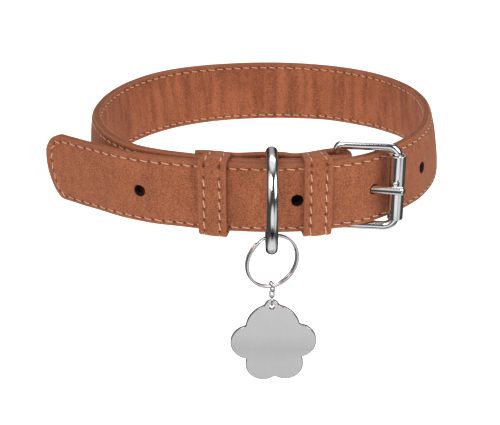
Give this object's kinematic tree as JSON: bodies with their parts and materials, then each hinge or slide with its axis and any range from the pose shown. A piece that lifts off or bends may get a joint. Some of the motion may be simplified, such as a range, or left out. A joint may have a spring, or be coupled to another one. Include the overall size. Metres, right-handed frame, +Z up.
{
  "type": "dog collar",
  "caption": "Stitched two-layer leather dog collar fastened in a loop, with a roller buckle, leather keepers, a D-ring, a split ring and a blank paw-shaped steel tag.",
  "frame": {"origin": "middle of the neck space at half the strap's width", "axes": "+Z up along the strap's width, -Y toward the buckle and the D-ring, -X toward the side the free tip points to"},
  "size_m": [0.1497, 0.1419, 0.09],
  "materials": {
    "strap_leather": "cognac nubuck, fine grained, semi-matte",
    "strap_lining": "matte nubuck, slightly wrinkled",
    "chrome": "polished plating",
    "tag_steel": "fine brushing with polished edges"
  },
  "bodies": {
    "collar": {"strap_leather": "strap_leather", "strap_lining": "strap_lining", "keeper_left": "strap_leather", "keeper_right": "strap_leather", "buckle_frame": "chrome", "buckle_prong": "chrome"},
    "roller": {"buckle_roller": "chrome"},
    "d_ring": {"d_ring": "chrome"},
    "tag_ring": {"tag_ring": "tag_steel"},
    "tag": {"paw_tag": "tag_steel", "tag_link_upper": "tag_steel", "tag_link_middle": "tag_steel", "tag_link_lower": "tag_steel"}
  },
  "joints": [
    {"name": "roller_spin", "type": "hinge", "parent": "collar", "child": "roller", "pos_m": [0.04599, -0.05787, 0], "axis": [0, 0, 1], "continuous": true},
    {"name": "d_ring_swing", "type": "hinge", "parent": "collar", "child": "d_ring", "pos_m": [0.00265, -0.05946, 0], "axis": [0, 0, 1], "range_deg": [-36, 34]},
    {"name": "ring_swing", "type": "hinge", "parent": "d_ring", "child": "tag_ring", "pos_m": [0.00257, -0.06336, -0.01845], "axis": [-0.0201, -0.9998, 0], "range_deg": [-40, 40]},
    {"name": "tag_swing", "type": "hinge", "parent": "tag_ring", "child": "tag", "pos_m": [0.00257, -0.06336, -0.0353], "axis": [0.9135, 0.4067, 0], "range_deg": [-40, 40]}
  ]
}
